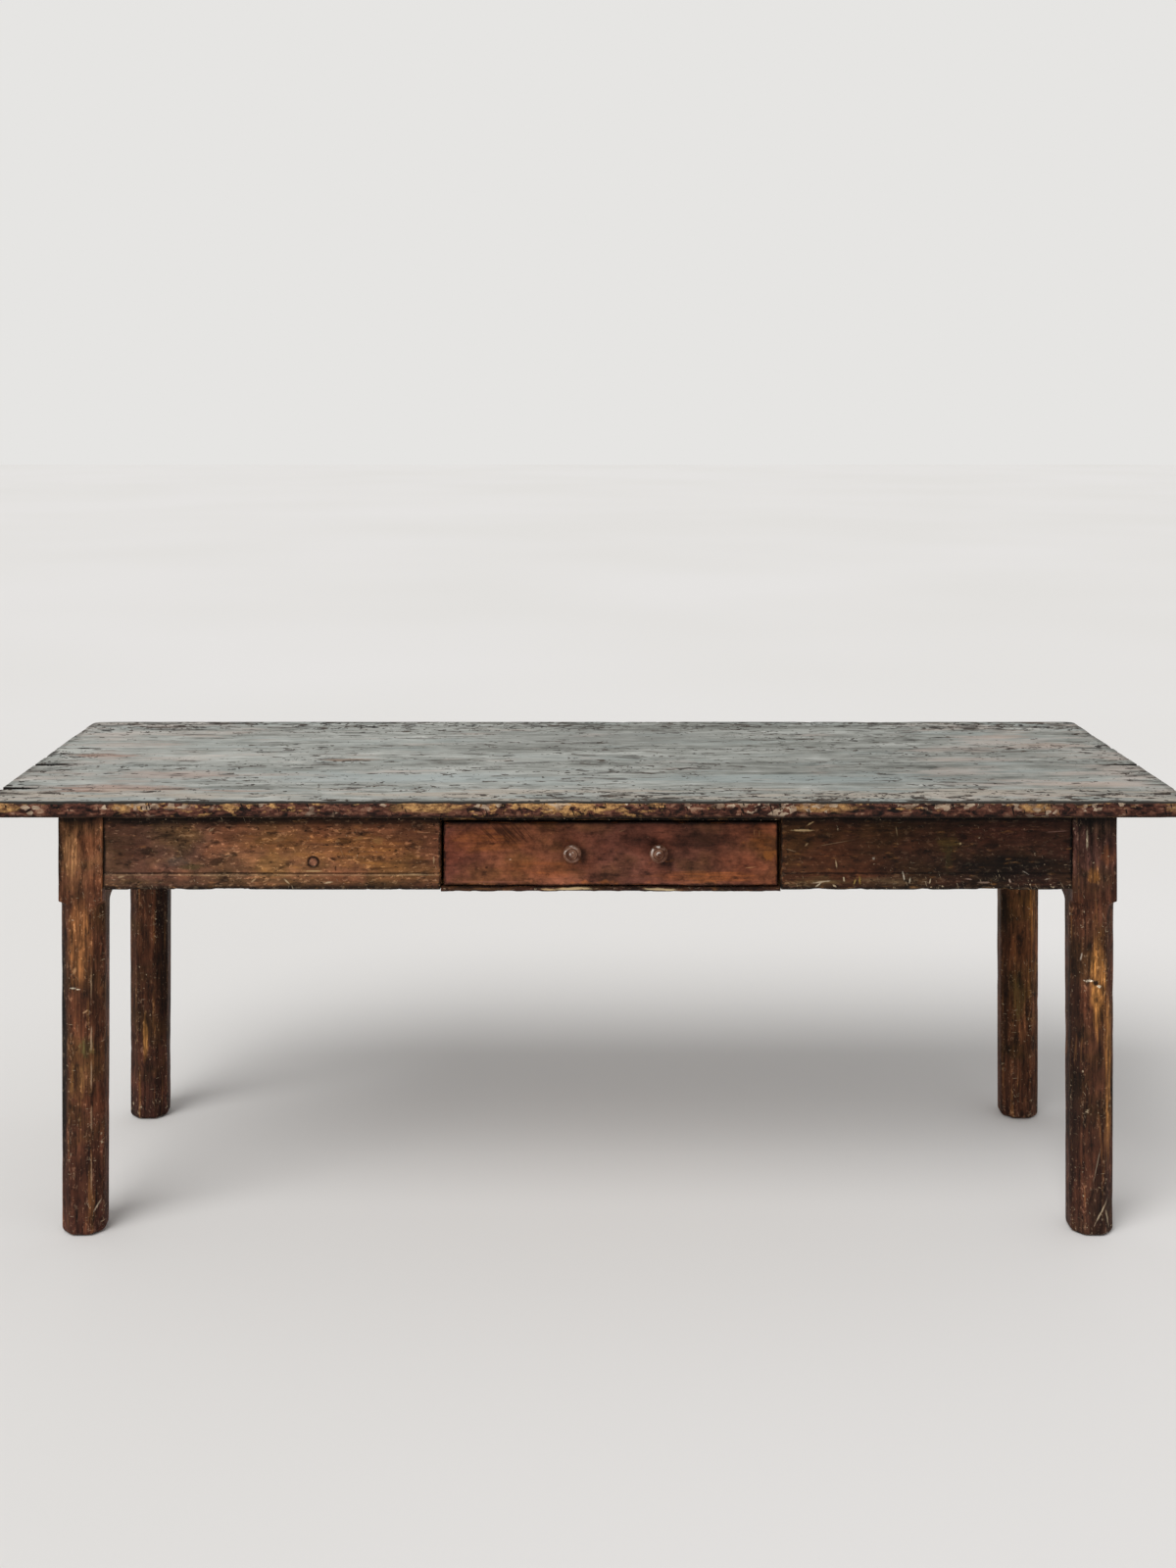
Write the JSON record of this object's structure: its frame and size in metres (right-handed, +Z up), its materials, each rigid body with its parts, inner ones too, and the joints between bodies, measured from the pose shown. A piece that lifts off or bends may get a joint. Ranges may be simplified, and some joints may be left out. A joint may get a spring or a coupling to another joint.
{
  "type": "farmhouse table",
  "caption": "Long kitchen table with a worn painted plank top, stop-chamfered legs, a deep apron and a sliding drawer with turned knobs.",
  "frame": {"origin": "on the floor, under the middle of the top", "axes": "+X along the table's length, to the right as seen from the drawer side; +Y to the back; +Z up"},
  "size_m": [2.06, 0.74, 0.775],
  "materials": {
    "painted_top": "worn chalky paint",
    "leg_paint": "worn dark paint",
    "apron_paint": "worn dark paint",
    "drawer_paint": "worn red-brown paint",
    "bare_wood": "aged bare softwood",
    "knob_wood": "handled, half gloss",
    "iron": "rusted"
  },
  "bodies": {
    "table": {"apron_pegs": "apron_paint", "apron_plug": "apron_paint", "back_apron": "apron_paint", "batten_left": "bare_wood", "batten_nails": "iron", "batten_right": "bare_wood", "bearer_left": "bare_wood", "bearer_right": "bare_wood", "drawer_stop_left": "bare_wood", "drawer_stop_right": "bare_wood", "end_apron_left": "apron_paint", "end_apron_right": "apron_paint", "front_apron_left": "apron_paint", "front_apron_right": "apron_paint", "kicker_left": "bare_wood", "kicker_right": "bare_wood", "leg_back_left": "leg_paint", "leg_back_right": "leg_paint", "leg_front_left": "leg_paint", "leg_front_right": "leg_paint", "rail_over_drawer": "apron_paint", "rail_under_drawer": "apron_paint", "runner_left": "bare_wood", "runner_nails": "iron", "runner_right": "bare_wood", "top_board_back": "painted_top", "top_board_fourth": "painted_top", "top_board_front": "painted_top", "top_board_middle": "painted_top", "top_board_second": "painted_top", "top_nails": "iron", "top_tongue_1": "bare_wood", "top_tongue_2": "bare_wood", "top_tongue_3": "bare_wood", "top_tongue_4": "bare_wood"},
    "drawer": {"drawer_back": "bare_wood", "drawer_bottom": "bare_wood", "drawer_front": "drawer_paint", "drawer_nails": "iron", "drawer_side_left": "bare_wood", "drawer_side_right": "bare_wood", "knob_left": "knob_wood", "knob_right": "knob_wood", "knob_wedges": "bare_wood"}
  },
  "joints": [
    {"name": "drawer_slide", "type": "slide", "parent": "table", "child": "drawer", "axis": [0, -1, 0], "range_m": [0, 0.4]}
  ]
}
